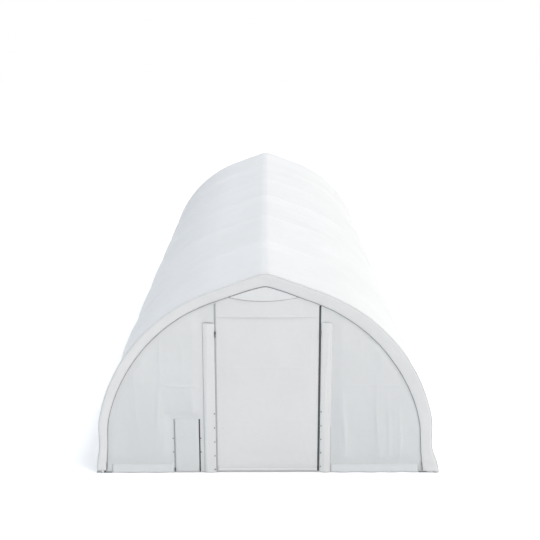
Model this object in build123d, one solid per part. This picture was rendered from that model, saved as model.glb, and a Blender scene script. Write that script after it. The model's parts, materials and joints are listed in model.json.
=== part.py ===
"""Walk-in tunnel greenhouse, 12 ft wide, 7.5 ft high and 30 ft long: seven steel hoops with a peaked
ridge, purlins and base rails, and a white woven polyethylene cover with a zipped roll-up door.

Frame: origin on the ground at the middle of the plan, +Z up, +Y towards the back, the door faces -Y.
All sizes in millimetres."""
from math import cos, sin, radians, degrees, atan2, sqrt, hypot
import os
from build123d import *

# ---------------------------------------------------------------- driving dimensions
HALF_W = 1830.0          # outside half width of the cover at the ground
LENGTH = 9144.0          # overall length
LEG = 508.0              # height of the straight part of the side wall
R_EAVE = 875.0           # outside radius of the small bend above the leg
A_EAVE = 12.8            # its angle
R_ROOF = 1940.0          # outside radius of the roof bow
A_ROOF = 70.0            # angle of the roof normal where the bow ends and the straight rafter starts
R_PEAK = 250.0           # outside radius of the rounded peak
SKIN = 3.0               # thickness the cover is given as a solid
CLOTH = 2.0              # thickness of flaps and of the door curtain as solids

R_TUBE, T_TUBE = 19.0, 1.5     # hoop tube, 38 mm x 1.5 mm
R_PURLIN, T_PURLIN = 16.0, 1.5  # purlin and rail tube, 32 mm x 1.5 mm
TUBE_IN = SKIN + R_TUBE        # hoop centreline lies this far inside the cover's outer face
N_HOOPS = 7
Y_END = LENGTH / 2
Y_HOOP = Y_END - 23.0          # the end hoops' centre
PITCH = 2 * Y_HOOP / (N_HOOPS - 1)
HOOPS = [-Y_HOOP + i * PITCH for i in range(N_HOOPS)]
SPLICE_Z = 430.0               # where the bow plugs onto the leg
DROP = 50.0                    # purlin centre below the hoop's centreline
PURLIN_ANGLE = 40.6            # roof normal at the side purlins
RAIL_Z = 60.0                  # height of the base rails and sills

HEM = 132.0                    # width of the cover's hem round each end hoop
HEM_FOOT = 85.0                # its width at the ground
PANEL_LAP = 25.0               # end panels reach this far under the hem
PANEL_FOOT = 8.0               # end panels stop this high, just over the base plates
Y_PANEL = Y_END - 20.0         # outer face of the end panels (the door and flaps share this plane)
VENT_Z = 2034.0                # fold line of the vent flap
VENT_HALF = 368.0

DOOR_X0, DOOR_X1 = -527.0, 573.0   # door curtain's edges
DOOR_TOP = 1800.0
DOOR_BANDS = 14
BAND_SHRINK = 0.94                 # each band of the curtain is this much of the one above, so it rolls up
BAR_R, BAR_Z = 11.0, 34.5          # bar in the curtain's lower hem
POST_X = (-604.0, 654.0)
HEADER_Z = 1815.0
SLEEVE_TOP = 1747.0
SLEEVES = ((-673.0, -547.0), (597.0, 717.0))
ZIP_X = (-538.0, 584.0)
SLIDER_Z = 1637.0
PORT = (-985.0, -743.0, 610.0)     # utility port: left, right, top
FLAP = (-993.0, -735.0, 12.0, 628.0)
FLAP_ZIP_X = (-1003.0, -725.0)
FLAP_SLIDER_Z = 45.0

os.makedirs("parts", exist_ok=True)


# ---------------------------------------------------------------- arch geometry
def arch_centres():
    a1, a2 = radians(A_EAVE), radians(A_ROOF)
    c1 = (HALF_W - R_EAVE, LEG)
    p1 = (c1[0] + R_EAVE * cos(a1), c1[1] + R_EAVE * sin(a1))
    c2 = (p1[0] - R_ROOF * cos(a1), p1[1] - R_ROOF * sin(a1))
    p2 = (c2[0] + R_ROOF * cos(a2), c2[1] + R_ROOF * sin(a2))
    h = cos(a2) * p2[0] + sin(a2) * p2[1]
    c3 = (0.0, (h - R_PEAK) / sin(a2))
    return c1, c2, p2, c3, h


C1, C2, P2, C3, H_RAFTER = arch_centres()
TOP = C3[1] + R_PEAK


def arch_point(angle, inset):
    """Point of the right half with that outward normal angle (degrees), inset from the outer face."""
    a = radians(angle)
    if angle <= A_EAVE:
        c, r = C1, R_EAVE
    elif angle <= A_ROOF:
        c, r = C2, R_ROOF
    else:
        c, r = C3, R_PEAK
    return (c[0] + (r - inset) * cos(a), c[1] + (r - inset) * sin(a))


def support(angle):
    a = radians(angle)
    if angle <= A_EAVE:
        c, r = C1, R_EAVE
    elif angle <= A_ROOF:
        c, r = C2, R_ROOF
    else:
        c, r = C3, R_PEAK
    return c[0] * cos(a) + c[1] * sin(a) + r


# flat facets that stand for the curved cover: outward normals of the right half, then the top
STEP_ROOF = (A_ROOF - A_EAVE) / 5
FACETS = [0.0, A_EAVE / 2] + [A_EAVE + STEP_ROOF * (k + 0.5) for k in range(5)] + [A_ROOF, (A_ROOF + 90.0) / 2, 90.0]


def meet(a, b, inset_a, inset_b=None):
    """Where two facets' lines meet, each moved in by its inset."""
    inset_b = inset_a if inset_b is None else inset_b
    ra, rb = radians(a), radians(b)
    ha, hb = support(a) - inset_a, support(b) - inset_b
    det = cos(ra) * sin(rb) - sin(ra) * cos(rb)
    return ((ha * sin(rb) - hb * sin(ra)) / det, (hb * cos(ra) - ha * cos(rb)) / det)


def right_outline(inset, ground=2.0, foot_inset=None):
    """Facet corners of the right half from the ground up to the facet beside the top one."""
    x0 = HALF_W - (inset if foot_inset is None else foot_inset)
    pts = [(x0, ground)]
    for a, b in zip(FACETS, FACETS[1:]):
        if foot_inset is not None and a == 0.0:
            pts.append((HALF_W - inset, LEG + 10.0))   # a tapered hem leans out to its foot
        else:
            pts.append(meet(a, b, inset))
    return pts


def full_outline(inset, ground=2.0, foot_inset=None):
    right = right_outline(inset, ground, foot_inset)
    return right + [(-x, z) for x, z in reversed(right)]


# ---------------------------------------------------------------- small helpers
def slab(points, y0, y1):
    """A closed plate from (x, z) corners, between two planes across the tunnel's length."""
    plane = Plane(origin=(0, y0, 0), x_dir=(1, 0, 0), z_dir=(0, -1, 0))
    face = make_face(Polyline(*[plane.from_local_coords(Vector(x, z, 0)) for x, z in points], close=True))
    out = extrude(face, amount=abs(y1 - y0), dir=(0, 1 if y1 > y0 else -1, 0))
    return out


def block(x0, x1, y0, y1, z0, z1):
    return Pos((x0 + x1) / 2, (y0 + y1) / 2, (z0 + z1) / 2) * Box(x1 - x0, y1 - y0, z1 - z0)


def tube_z(x, y, z0, z1, r, t):
    body = Pos(x, y, (z0 + z1) / 2) * Cylinder(r, z1 - z0)
    return body - Pos(x, y, (z0 + z1) / 2) * Cylinder(r - t, z1 - z0 + 2)


def tube_x(x0, x1, y, z, r, t):
    at = Pos((x0 + x1) / 2, y, z) * Rot(0, 90, 0)
    return at * Cylinder(r, x1 - x0) - at * Cylinder(r - t, x1 - x0 + 2)


def tube_y(y0, y1, x, z, r, t):
    at = Pos(x, (y0 + y1) / 2, z) * Rot(90, 0, 0)
    return at * Cylinder(r, y1 - y0) - at * Cylinder(r - t, y1 - y0 + 2)


def arc(centre, r, a0, a1, y):
    pts = [Vector(centre[0] + r * cos(radians(a)), y, centre[1] + r * sin(radians(a))) for a in (a0, (a0 + a1) / 2, a1)]
    return ThreePointArc(*pts)


def swept_tube(edges, start, tangent, r, t):
    path = Wire(edges)
    ring = Plane(origin=start, z_dir=tangent) * (Circle(r) - Circle(r - t))
    return sweep(ring, path=path)


def save(name, shape):
    shapes = list(shape) if isinstance(shape, (list, tuple)) else [shape]
    solids = [s for item in shapes for s in item.solids()]
    thing = solids[0] if len(solids) == 1 else Compound(children=solids)
    thing.label = name
    export_step(thing, os.path.join("parts", name + ".step"))
    return solids


def mirrored(shape):
    return shape.mirror(Plane.YZ)


# ---------------------------------------------------------------- hoops
def bow(y):
    """Right half of a hoop: from the splice on the leg, over the eave and roof, to the ridge."""
    x = HALF_W - TUBE_IN
    e = [Line((x, y, SPLICE_Z), (x, y, LEG)),
         arc(C1, R_EAVE - TUBE_IN, 0, A_EAVE, y),
         arc(C2, R_ROOF - TUBE_IN, A_EAVE, A_ROOF, y)]
    a = arch_point(A_ROOF, TUBE_IN)
    r3 = R_PEAK - TUBE_IN
    b = (C3[0] + r3 * cos(radians(A_ROOF)), C3[1] + r3 * sin(radians(A_ROOF)))
    e.append(Line((a[0], y, a[1]), (b[0], y, b[1])))
    e.append(arc(C3, r3, A_ROOF, 89.85, y))
    return swept_tube(e, (x, y, SPLICE_Z), (0, 0, 1), R_TUBE, T_TUBE)


right_bow = bow(0.0)
left_bow = mirrored(right_bow)
for i, y in enumerate(HOOPS):
    save(f"hoop_{i + 1}_bows", [Pos(0, y, 0) * left_bow, Pos(0, y, 0) * right_bow])

PLATE = 6.0
leg_x = HALF_W - TUBE_IN
save("hoop_legs", [tube_z(s * leg_x, y, PLATE, SPLICE_Z, R_TUBE, T_TUBE) for s in (-1, 1) for y in HOOPS])

# plugs inside the tubes: one bent plug at each ridge and one straight plug at each leg splice
r_plug = R_TUBE - T_TUBE - 0.2
ridge_arc = arc(C3, R_PEAK - TUBE_IN, 71.0, 109.0, 0.0)
start = (C3[0] + (R_PEAK - TUBE_IN) * cos(radians(71)), 0, C3[1] + (R_PEAK - TUBE_IN) * sin(radians(71)))
ridge_plug = swept_tube([ridge_arc], start, (-sin(radians(71)), 0, cos(radians(71))), r_plug, 1.6)
plugs = []
for y in HOOPS:
    plugs.append(Pos(0, y, 0) * ridge_plug)
    for s in (-1, 1):
        plugs.append(tube_z(s * leg_x, y, SPLICE_Z - 70, SPLICE_Z + 70, r_plug, 1.6))
save("tube_plugs", plugs)

# ---------------------------------------------------------------- purlins, rails, sills
END_CLEAR = 2.0                # purlins and end clamps stop this far inside the end hoops' centre
cuts = [-Y_HOOP + END_CLEAR] + HOOPS[1:-1] + [Y_HOOP - END_CLEAR]


def run_of_tubes(x, z):
    return [tube_y(a + (0.0 if k == 0 else 0.5), b - (0.0 if k == len(cuts) - 2 else 0.5), x, z, R_PURLIN, T_PURLIN)
            for k, (a, b) in enumerate(zip(cuts, cuts[1:]))]


ridge_at = (0.0, TOP - TUBE_IN - DROP)
side_at = arch_point(PURLIN_ANGLE, TUBE_IN + DROP)
save("ridge_purlin", run_of_tubes(*ridge_at))
save("right_purlin", run_of_tubes(*side_at))
save("left_purlin", run_of_tubes(-side_at[0], side_at[1]))
rail_x = leg_x - DROP
save("base_rails", run_of_tubes(-rail_x, RAIL_Z) + run_of_tubes(rail_x, RAIL_Z))

y_post = Y_PANEL - SKIN - 1.0 - R_TUBE          # posts stand just inside the end panels
sill_x = leg_x - 72.0
REAR_POST = 600.0
save("end_sills", [tube_x(-sill_x, POST_X[0] - R_TUBE - 1, -y_post, RAIL_Z, R_PURLIN, T_PURLIN),
                   tube_x(POST_X[1] + R_TUBE + 1, sill_x, -y_post, RAIL_Z, R_PURLIN, T_PURLIN),
                   tube_x(-sill_x, -REAR_POST - R_TUBE - 1, y_post, RAIL_Z, R_PURLIN, T_PURLIN),
                   tube_x(-REAR_POST + R_TUBE + 1, REAR_POST - R_TUBE - 1, y_post, RAIL_Z, R_PURLIN, T_PURLIN),
                   tube_x(REAR_POST + R_TUBE + 1, sill_x, y_post, RAIL_Z, R_PURLIN, T_PURLIN)])


def under_hoop(x, inset):
    """Height of the arch's line at half width x, inset from the outer face."""
    x = abs(x)
    lo, hi = A_EAVE, 89.9
    a2 = radians(A_ROOF)
    z_line = (H_RAFTER - inset - cos(a2) * x) / sin(a2)
    if arch_point(A_ROOF, inset)[0] >= x >= C3[0] + (R_PEAK - inset) * cos(a2):
        return z_line
    for _ in range(60):
        mid = (lo + hi) / 2
        if arch_point(mid, inset)[0] > x:
            lo = mid
        else:
            hi = mid
    return arch_point(lo, inset)[1]


def post(x, y):
    top = under_hoop(abs(x) + R_TUBE, TUBE_IN + R_TUBE) - 3.0
    return tube_z(x, y, PLATE, top, R_TUBE, T_TUBE)


save("door_post_left", post(POST_X[0], -y_post))
save("door_post_right", post(POST_X[1], -y_post))
save("door_header", tube_x(POST_X[0] + R_TUBE + 1, POST_X[1] - R_TUBE - 1, -y_post, HEADER_Z, R_PURLIN, T_PURLIN))
save("rear_posts", [post(-REAR_POST, y_post), post(REAR_POST, y_post)])


# ---------------------------------------------------------------- base plates
def plate(x0, x1, y0, y1, holes):
    body = block(x0, x1, y0, y1, 0, PLATE)
    for hx, hy in holes:
        body -= Pos(hx, hy, PLATE / 2) * Cylinder(6.5, PLATE + 2)
    return body


plates = []
for i, y in enumerate(HOOPS):
    yc = y + (40.5 if i == 0 else -40.5 if i == N_HOOPS - 1 else 0.0)
    for s in (-1, 1):
        x0, x1 = sorted((s * (HALF_W - SKIN - 1.0), s * (HALF_W - SKIN - 121.0)))
        hx = s * (HALF_W - SKIN - 91.0)
        plates.append(plate(x0, x1, yc - 60, yc + 60, [(hx, yc - 38), (hx, yc + 38)]))
for x, y in [(POST_X[0], -y_post), (POST_X[1], -y_post), (-REAR_POST, y_post), (REAR_POST, y_post)]:
    s = 1 if y < 0 else -1
    yc = y + s * 31.0
    out = -1 if x < 0 else 1
    plates.append(plate(x - 50 + out * 22, x + 50 + out * 22, yc - 50, yc + 50,
                        [(x + out * 50, yc - 32), (x + out * 50, yc + 32)]))
save("base_plates", plates)


# ---------------------------------------------------------------- saddle clamps and their bolts
BOLT_AT = -27.0                # the bolt passes between the hoop and the purlin


def clamp_pair(p, angle, y, y0, y1, r_hoop):
    """Saddle clamp and bolt where a purlin crosses a hoop. p is on the hoop's centreline."""
    a = radians(angle)
    plane = Plane(origin=(p[0], y, p[1]), x_dir=(-sin(a), 0, cos(a)), z_dir=(cos(a), 0, sin(a)))
    # local x runs along the hoop, local z outwards; local y is z cross x
    ydir = plane.y_dir.Y
    lo, hi = sorted((ydir * y0, ydir * y1))
    body = Pos(0, (lo + hi) / 2, -(DROP + 20) / 2) * Box(50, hi - lo, DROP + 20)
    body = fillet(body.edges().filter_by(Axis.Y).group_by(Axis.Z)[0], 8.0)
    body -= Rot(0, 90, 0) * Cylinder(r_hoop, 60)
    body -= Pos(0, 0, -DROP) * Rot(90, 0, 0) * Cylinder(R_PURLIN + 0.15, 140)
    yb = 0.0 if y0 < 0 < y1 else (y0 + y1) / 2 * ydir
    body -= Pos(0, yb, BOLT_AT) * Rot(0, 90, 0) * Cylinder(3.15, 60)
    bolt = Pos(0, yb, BOLT_AT) * Rot(0, 90, 0) * Cylinder(3.0, 62)
    head = Pos(25.2, yb, BOLT_AT) * Rot(0, 90, 0) * extrude(RegularPolygon(5.6, 6), 4.0)
    nut = Pos(-30.0, yb, BOLT_AT) * Rot(0, 90, 0) * extrude(RegularPolygon(5.6, 6), 4.6)
    bolt = bolt + head + nut
    return plane.location * body, plane.location * bolt


clamps, bolts = [], []
for i, y in enumerate(HOOPS):
    y0, y1 = (END_CLEAR, 38.0) if i == 0 else (-38.0, -END_CLEAR) if i == N_HOOPS - 1 else (-24.0, 24.0)
    spots = [((0.0, TOP - TUBE_IN), 90.0, R_TUBE + 1.7)]
    q = arch_point(PURLIN_ANGLE, TUBE_IN)
    spots += [(q, PURLIN_ANGLE, R_TUBE + 0.4), ((-q[0], q[1]), 180 - PURLIN_ANGLE, R_TUBE + 0.4)]
    spots += [((leg_x, RAIL_Z), 0.0, R_TUBE + 0.2), ((-leg_x, RAIL_Z), 180.0, R_TUBE + 0.2)]
    for p, ang, r in spots:
        c, b = clamp_pair(p, ang, y, y0, y1, r)
        clamps.append(c)
        bolts.append(b)
save("purlin_clamps", clamps)
save("clamp_bolts", bolts)

# ---------------------------------------------------------------- main cover and hems
outer, inner = full_outline(0.0), full_outline(SKIN)
strips = []
for k in range(len(outer) - 1):
    strips.append(slab([outer[k], outer[k + 1], inner[k + 1], inner[k]], -Y_END, Y_END))
save("main_cover", strips)

seam = full_outline(HEM, foot_inset=HEM_FOOT)
for name, y0, y1 in (("front_cover_hem", -Y_END, -Y_END + SKIN), ("rear_cover_hem", Y_END - SKIN, Y_END)):
    save(name, [slab([inner[k], inner[k + 1], seam[k + 1], seam[k]], y0, y1) for k in range(len(inner) - 1)])

# ---------------------------------------------------------------- end panels
edge = full_outline(HEM - PANEL_LAP, ground=PANEL_FOOT, foot_inset=HEM_FOOT - PANEL_LAP)


def clip(points, a, b, c):
    """Keep the part of a convex outline where a x + b z <= c."""
    out = []
    for (x0, z0), (x1, z1) in zip(points, points[1:] + points[:1]):
        d0, d1 = a * x0 + b * z0 - c, a * x1 + b * z1 - c
        if d0 <= 0:
            out.append((x0, z0))
        if d0 * d1 < 0:
            t = d0 / (d0 - d1)
            out.append((x0 + t * (x1 - x0), z0 + t * (z1 - z0)))
    return out


yp0, yp1 = -Y_PANEL, -Y_PANEL + SKIN
left = clip(edge, 1, 0, -533.0)
save("front_panel_left", [slab(clip(left, 1, 0, PORT[0]), yp0, yp1),
                          slab(clip(clip(clip(left, -1, 0, -PORT[0]), 1, 0, PORT[1]), 0, -1, -PORT[2]), yp0, yp1),
                          slab(clip(left, -1, 0, -PORT[1]), yp0, yp1)])
save("front_panel_right", slab(clip(edge, -1, 0, -579.0), yp0, yp1))
top = clip(clip(clip(clip(edge, 1, 0, 579.0), -1, 0, 533.0), 0, -1, -(DOOR_TOP + 3.0)), 0, 1, VENT_Z)
save("door_top_panel", slab(top, yp0, yp1))
save("rear_panel", slab(clip(edge, 0, 1, VENT_Z), -yp1, -yp0))

# vent screens fill the top of each end wall above the vent's fold line
screen = clip(edge, 0, -1, -(VENT_Z + 1.0))
save("front_vent_screen", slab(screen, -Y_PANEL, -Y_PANEL + CLOTH))
save("rear_vent_screen", slab(screen, Y_PANEL - CLOTH, Y_PANEL))
flap_edge = full_outline(HEM + 6.0)
flap = clip(flap_edge, 0, -1, -(VENT_Z + 2.0))
save("front_vent_flap", slab(flap, -Y_PANEL - 6.0, -Y_PANEL - 6.0 + CLOTH))
save("rear_vent_flap", slab(flap, Y_PANEL + 6.0 - CLOTH, Y_PANEL + 6.0))

# ---------------------------------------------------------------- roll-up door
y_curtain = -Y_PANEL + 1.0            # middle of the curtain's thickness, and its fold lines
first = (DOOR_TOP - BAR_Z) * (1 - BAND_SHRINK) / (1 - BAND_SHRINK ** DOOR_BANDS)
FOLDS = [DOOR_TOP]
for k in range(DOOR_BANDS):
    FOLDS.append(FOLDS[-1] - first * BAND_SHRINK ** k)
for k in range(DOOR_BANDS):
    top_z = FOLDS[k] - 2.0
    low_z = FOLDS[k + 1] + (2.0 if k < DOOR_BANDS - 1 else BAR_R + 0.5)
    save(f"door_curtain_{k + 1:02d}", block(DOOR_X0, DOOR_X1, y_curtain - CLOTH / 2, y_curtain + CLOTH / 2, low_z, top_z))
save("door_bottom_bar", tube_x(DOOR_X0 + 6, DOOR_X1 - 6, y_curtain, BAR_Z, BAR_R, 1.5))

# zip tapes on the fixed side of each door edge, with the teeth as a low bead
for name, x, s in (("door_zip_left", ZIP_X[0], -1), ("door_zip_right", ZIP_X[1], 1)):
    z_top = under_hoop(abs(x), HEM) - 14.0
    tape = block(x - 8, x + 8, -Y_PANEL - 2.0, -Y_PANEL, 20, z_top)
    teeth = block(x - 3, x + 3, -Y_PANEL - 4.0, -Y_PANEL - 2.0, 20, z_top)
    save(name, tape + teeth)



def slider(x, z, w, h, pull):
    """Zip slider whose pull tab hangs down from a bridge on its face."""
    yb = -Y_PANEL - 4.3
    body = block(x - w, x + w, yb - 6, yb, z - h, z + h)
    body = fillet(body.edges().filter_by(Axis.Y), 0.5 * w)
    bridge = block(x - 2, x + 2, yb - 9, yb - 6, z - 0.5 * h, z + 0.5 * h)
    tab = block(x - 0.7 * w, x + 0.7 * w, yb - 11, yb - 8.6, z - pull, z - 2)
    tab -= Pos(x, yb - 10, z - pull + 6) * Rot(90, 0, 0) * Cylinder(2.0, 10)
    return body + bridge + tab


# sliders with pull tabs, at the top of the opening part of each zip
for name, x in (("door_slider_left", ZIP_X[0]), ("door_slider_right", ZIP_X[1])):
    save(name, slider(x, SLIDER_Z, 7.0, 14.0, 52.0))

# fabric sleeves round the door posts, held closed by press studs
for name, (x0, x1) in (("post_sleeve_left", SLEEVES[0]), ("post_sleeve_right", SLEEVES[1])):
    pad = block(x0, x1, -Y_END + 3.5, -Y_PANEL, 4.0, SLEEVE_TOP)
    pad = fillet(pad.edges().filter_by(Axis.Z).group_by(Axis.Y)[0], 7.0)
    save(name, pad)
studs = []
for x, zs in ((-558.0, (708, 541, 374, 207, 41)), (608.0, (730, 564, 403, 242, 76))):
    for z in zs:
        studs.append(Pos(x, -Y_END + 2.0, z) * Rot(90, 0, 0) * Cylinder(7.0, 3.0))
save("sleeve_studs", studs)

# utility flap over the port in the left panel, zipped down both sides
yf = -Y_PANEL - 6.0
save("utility_flap", block(FLAP[0], FLAP[1], yf, yf + CLOTH, FLAP[2], FLAP[3]))
save("utility_zip_tapes", [block(x - 7, x + 7, -Y_PANEL - 2.0, -Y_PANEL, 16, FLAP[3] + 12)
                           + block(x - 2.5, x + 2.5, -Y_PANEL - 4.0, -Y_PANEL - 2.0, 16, FLAP[3] + 12)
                           for x in FLAP_ZIP_X])
save("utility_slider_left", slider(FLAP_ZIP_X[0], FLAP_SLIDER_Z, 6.0, 11.0, 34.0))
save("utility_slider_right", slider(FLAP_ZIP_X[1], FLAP_SLIDER_Z, 6.0, 11.0, 34.0))
save("utility_studs", [Pos(x, -Y_PANEL - 1.5, z) * Rot(90, 0, 0) * Cylinder(6.0, 3.0)
                       for x in (FLAP_ZIP_X[0] - 14, FLAP_ZIP_X[1] + 14) for z in (247, 412)])

# webbing loops round the header, which tie up the rolled door
ties = []
for x in (-300.0, 346.0):
    ring = Pos(x, -y_post, HEADER_Z) * Rot(0, 90, 0) * (Cylinder(R_PURLIN + 2.3, 25) - Cylinder(R_PURLIN + 0.3, 27))
    ties.append(ring)
save("door_ties", ties)

print("folds", [round(z, 3) for z in FOLDS])
print("top", round(TOP, 2), "ridge purlin", [round(v, 1) for v in ridge_at], "side purlin", [round(v, 1) for v in side_at],
      "y_post", y_post, "y_curtain", y_curtain, "hoops", [round(y, 1) for y in HOOPS])
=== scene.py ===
import json
import math
import bpy
import numpy as np
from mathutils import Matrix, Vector


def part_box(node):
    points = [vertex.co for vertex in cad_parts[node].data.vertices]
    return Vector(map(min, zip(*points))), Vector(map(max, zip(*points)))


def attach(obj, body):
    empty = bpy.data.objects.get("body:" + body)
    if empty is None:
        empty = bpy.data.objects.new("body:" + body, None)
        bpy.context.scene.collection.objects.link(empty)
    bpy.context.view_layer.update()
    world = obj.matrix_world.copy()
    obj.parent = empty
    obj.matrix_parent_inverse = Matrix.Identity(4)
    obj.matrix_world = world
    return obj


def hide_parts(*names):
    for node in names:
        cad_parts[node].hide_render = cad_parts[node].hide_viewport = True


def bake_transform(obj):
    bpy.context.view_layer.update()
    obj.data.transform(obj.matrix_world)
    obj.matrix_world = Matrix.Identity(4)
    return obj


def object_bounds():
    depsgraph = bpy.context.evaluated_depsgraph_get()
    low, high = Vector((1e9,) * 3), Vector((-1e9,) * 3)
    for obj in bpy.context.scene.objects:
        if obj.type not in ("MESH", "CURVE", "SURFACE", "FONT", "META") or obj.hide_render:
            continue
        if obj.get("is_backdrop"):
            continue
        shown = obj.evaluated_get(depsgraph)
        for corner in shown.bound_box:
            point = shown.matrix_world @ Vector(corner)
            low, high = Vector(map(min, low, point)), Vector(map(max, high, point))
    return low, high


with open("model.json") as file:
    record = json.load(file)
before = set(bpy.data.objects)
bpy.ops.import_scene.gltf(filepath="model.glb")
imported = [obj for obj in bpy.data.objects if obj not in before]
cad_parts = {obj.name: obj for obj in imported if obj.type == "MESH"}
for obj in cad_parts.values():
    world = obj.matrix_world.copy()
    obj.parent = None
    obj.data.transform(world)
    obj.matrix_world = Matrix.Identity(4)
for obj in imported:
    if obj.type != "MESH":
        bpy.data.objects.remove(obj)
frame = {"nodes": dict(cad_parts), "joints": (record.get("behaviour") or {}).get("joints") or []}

CAD_LO, CAD_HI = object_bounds()
NODES = frame["nodes"]
ROOT = "frame_and_cover"
scene = bpy.context.scene

# ------------------------------------------------------------------ sizes (metres), as the CAD model has them
HALF_W, LEG = 1.830, 0.508
R_EAVE, A_EAVE = 0.875, 12.8
R_ROOF, A_ROOF = 1.940, 70.0
R_PEAK = 0.250
Y_FRONT, Y_REAR = CAD_LO[1], CAD_HI[1]
Y_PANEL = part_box("front_panel_right")[0][1]          # outer face of the front panels
VENT_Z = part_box("front_vent_flap")[0][2] - 0.002
HINGES = {j["name"]: j for j in frame["joints"]}
HOOP_Y = [(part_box(f"hoop_{i}_bows")[0][1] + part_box(f"hoop_{i}_bows")[1][1]) / 2 for i in range(1, 8)]


def arch_table():
    a1, a2 = math.radians(A_EAVE), math.radians(A_ROOF)
    c1 = (HALF_W - R_EAVE, LEG)
    p1 = (c1[0] + R_EAVE * math.cos(a1), c1[1] + R_EAVE * math.sin(a1))
    c2 = (p1[0] - R_ROOF * math.cos(a1), p1[1] - R_ROOF * math.sin(a1))
    p2 = (c2[0] + R_ROOF * math.cos(a2), c2[1] + R_ROOF * math.sin(a2))
    h = math.cos(a2) * p2[0] + math.sin(a2) * p2[1]
    c3 = (0.0, (h - R_PEAK) / math.sin(a2))
    rows = []                                         # x, z, angle of the outward normal, from the ground up
    for z in np.linspace(0.0, LEG, 60)[:-1]:
        rows.append((HALF_W, z, 0.0))
    for a in np.linspace(0, a1, 24)[:-1]:
        rows.append((c1[0] + R_EAVE * math.cos(a), c1[1] + R_EAVE * math.sin(a), a))
    for a in np.linspace(a1, a2, 220)[:-1]:
        rows.append((c2[0] + R_ROOF * math.cos(a), c2[1] + R_ROOF * math.sin(a), a))
    e = (c3[0] + R_PEAK * math.cos(a2), c3[1] + R_PEAK * math.sin(a2))
    for t in np.linspace(0, 1, 60)[:-1]:
        rows.append((p2[0] + (e[0] - p2[0]) * t, p2[1] + (e[1] - p2[1]) * t, a2))
    for a in np.linspace(a2, math.pi / 2, 24):
        rows.append((c3[0] + R_PEAK * math.cos(a), c3[1] + R_PEAK * math.sin(a), a))
    return np.array(rows)


ARCH = arch_table()
ARCH_S = np.r_[0.0, np.cumsum(np.hypot(np.diff(ARCH[:, 0]), np.diff(ARCH[:, 1])))]
HALF_LEN = float(ARCH_S[-1])                          # ground to peak along the outer face


def arch(s):
    """Outer face at arc length s from the peak, positive to the right: x, z, nx, nz."""
    s = np.asarray(s, float)
    g = HALF_LEN - np.abs(s)
    x, z, a = (np.interp(g, ARCH_S, ARCH[:, i]) for i in range(3))
    side = np.where(s < 0, -1.0, 1.0)
    return x * side, z, np.cos(a) * side, np.sin(a)


# ------------------------------------------------------------------ smooth seeded noise
TABLE = np.random.RandomState(7).rand(64, 64)


def vnoise(x, y, seed=0):
    x = np.asarray(x, float) + 13.7 * seed
    y = np.asarray(y, float) + 7.3 * seed
    xi, yi = np.floor(x).astype(int), np.floor(y).astype(int)
    fx, fy = x - xi, y - yi
    fx, fy = fx ** 3 * (fx * (fx * 6 - 15) + 10), fy ** 3 * (fy * (fy * 6 - 15) + 10)
    t = lambda a, b: TABLE[a % 64, b % 64]
    return ((t(xi, yi) * (1 - fx) + t(xi + 1, yi) * fx) * (1 - fy)
            + (t(xi, yi + 1) * (1 - fx) + t(xi + 1, yi + 1) * fx) * fy) * 2 - 1


def fbm(x, y, seed=0, octaves=3):
    return sum(vnoise(x * 2 ** k, y * 2 ** k, seed + 3 * k) / 2 ** k for k in range(octaves)) / 1.6


def ridged(x, y, seed=0):
    """Sharp-crested creases, 0 to 1."""
    return (1 - np.abs(vnoise(x, y, seed))) ** 4


def smooth(t):
    t = np.clip(t, 0, 1)
    return t * t * (3 - 2 * t)


def bump_at(v, centre, width):
    return np.exp(-((v - centre) / width) ** 2)


# ------------------------------------------------------------------ materials
def new_mat(name):
    m = bpy.data.materials.new(name)
    m.use_nodes = True
    m.node_tree.nodes.clear()
    return m, m.node_tree


class Net:
    """A little shorthand for building node trees."""

    def __init__(self, tree):
        self.t = tree

    def n(self, kind, **props):
        node = self.t.nodes.new(kind)
        for k, v in props.items():
            setattr(node, k, v)
        return node

    def link(self, a, b):
        self.t.links.new(a, b)

    def put(self, socket, value):
        if isinstance(value, bpy.types.NodeSocket):
            self.link(value, socket)
        else:
            socket.default_value = value

    def math(self, op, a, b=None, c=None, clamp=False):
        node = self.n("ShaderNodeMath", operation=op, use_clamp=clamp)
        self.put(node.inputs[0], a)
        if b is not None:
            self.put(node.inputs[1], b)
        if c is not None:
            self.put(node.inputs[2], c)
        return node.outputs[0]

    def mix(self, fac, a, b, blend="MIX"):
        node = self.n("ShaderNodeMix", data_type="RGBA", blend_type=blend)
        self.put(node.inputs[0], fac)
        self.put(node.inputs[6], a)
        self.put(node.inputs[7], b)
        return node.outputs[2]

    def ramp(self, value, lo, hi, to_lo=0.0, to_hi=1.0):
        node = self.n("ShaderNodeMapRange")
        self.put(node.inputs[0], value)
        for i, v in enumerate((lo, hi, to_lo, to_hi)):
            node.inputs[1 + i].default_value = v
        return node.outputs[0]

    def noise(self, vector, scale, detail=3.0, rough=0.55):
        node = self.n("ShaderNodeTexNoise")
        self.link(vector, node.inputs["Vector"])
        node.inputs["Scale"].default_value = scale
        node.inputs["Detail"].default_value = detail
        node.inputs["Roughness"].default_value = rough
        return node.outputs["Fac"]

    def bump(self, height, strength, distance):
        node = self.n("ShaderNodeBump")
        node.inputs["Strength"].default_value = strength
        node.inputs["Distance"].default_value = distance
        self.link(height, node.inputs["Height"])
        return node.outputs["Normal"]


def rgb(r, g, b):
    return (r, g, b, 1.0)


def scaled(c, k):
    return (min(c[0] * k, 1), min(c[1] * k, 1), min(c[2] * k, 1), 1.0)


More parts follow.
